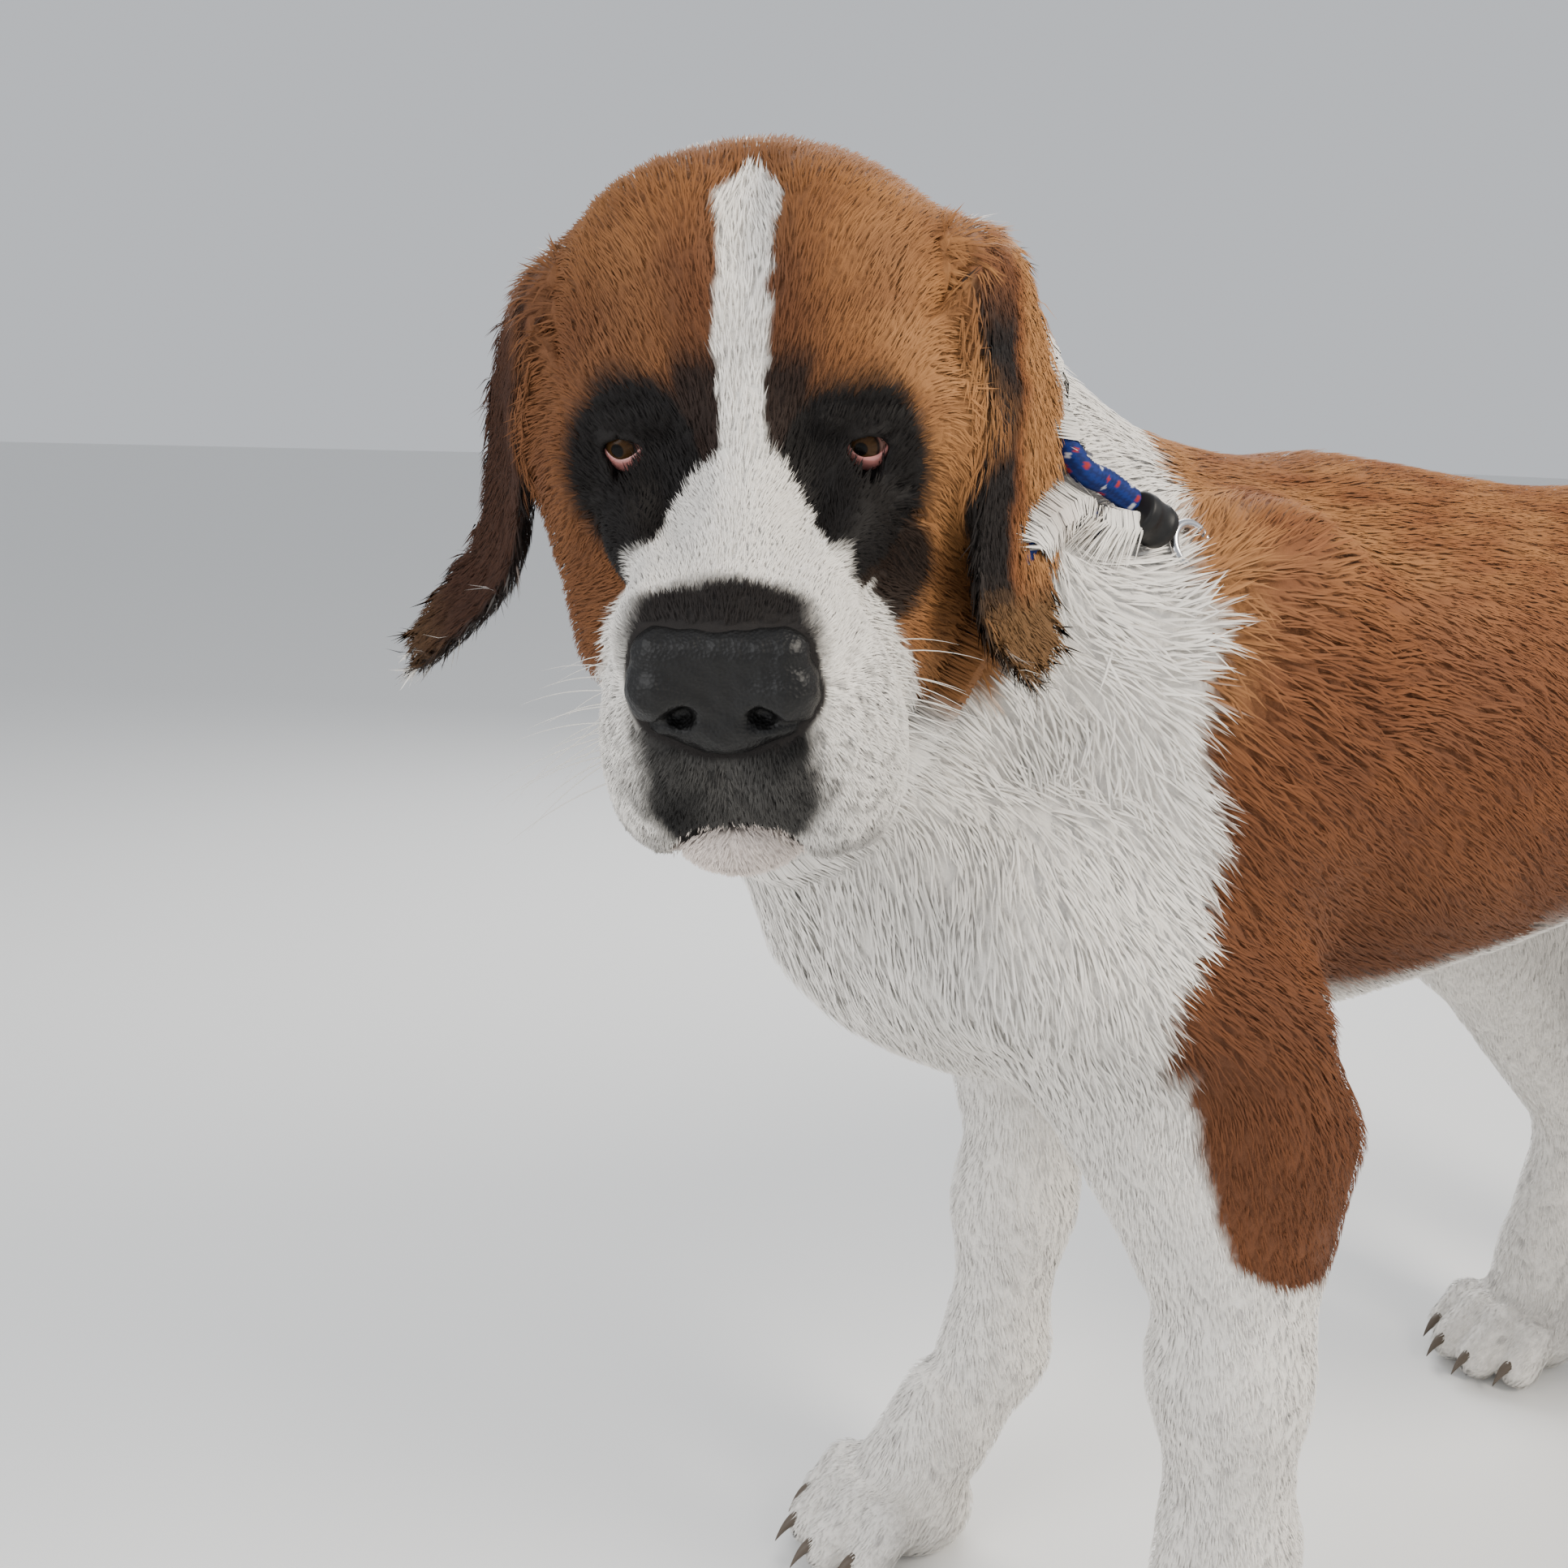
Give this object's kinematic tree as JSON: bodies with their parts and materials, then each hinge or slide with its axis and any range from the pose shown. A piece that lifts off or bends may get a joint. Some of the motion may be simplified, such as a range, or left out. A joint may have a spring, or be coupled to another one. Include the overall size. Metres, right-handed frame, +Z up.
{
  "type": "saint bernard",
  "caption": "Life-size standing Saint Bernard with its head turned to its left and a rope collar with a keeper round its neck.",
  "frame": {"origin": "on the floor, under the middle of the dog's bounding box", "axes": "+Z up, the dog faces -Y along its own length, +X to its left"},
  "size_m": [0.3844, 1.176, 0.8374],
  "materials": {
    "rust_coat": "matt",
    "white_coat": "matt",
    "dark_coat": "matt",
    "eye": "wet gloss",
    "nose_leather": "moist satin",
    "rope": "woven",
    "keeper": "matt",
    "ring_steel": "polished"
  },
  "bodies": {
    "root": {"head": "rust_coat", "neck": "white_coat", "torso": "rust_coat", "tail": "rust_coat", "thigh_left": "rust_coat", "thigh_right": "rust_coat", "shank_left": "white_coat", "shank_right": "white_coat", "foreleg_left": "white_coat", "foreleg_right": "white_coat", "forepaw_left": "white_coat", "forepaw_right": "white_coat", "hindpaw_left": "white_coat", "hindpaw_right": "white_coat", "ear_left": "dark_coat", "ear_right": "dark_coat", "eye_left": "eye", "eye_right": "eye", "nose": "nose_leather", "collar_rope": "rope", "collar_keeper": "keeper", "collar_ring": "ring_steel"}
  },
  "joints": []
}
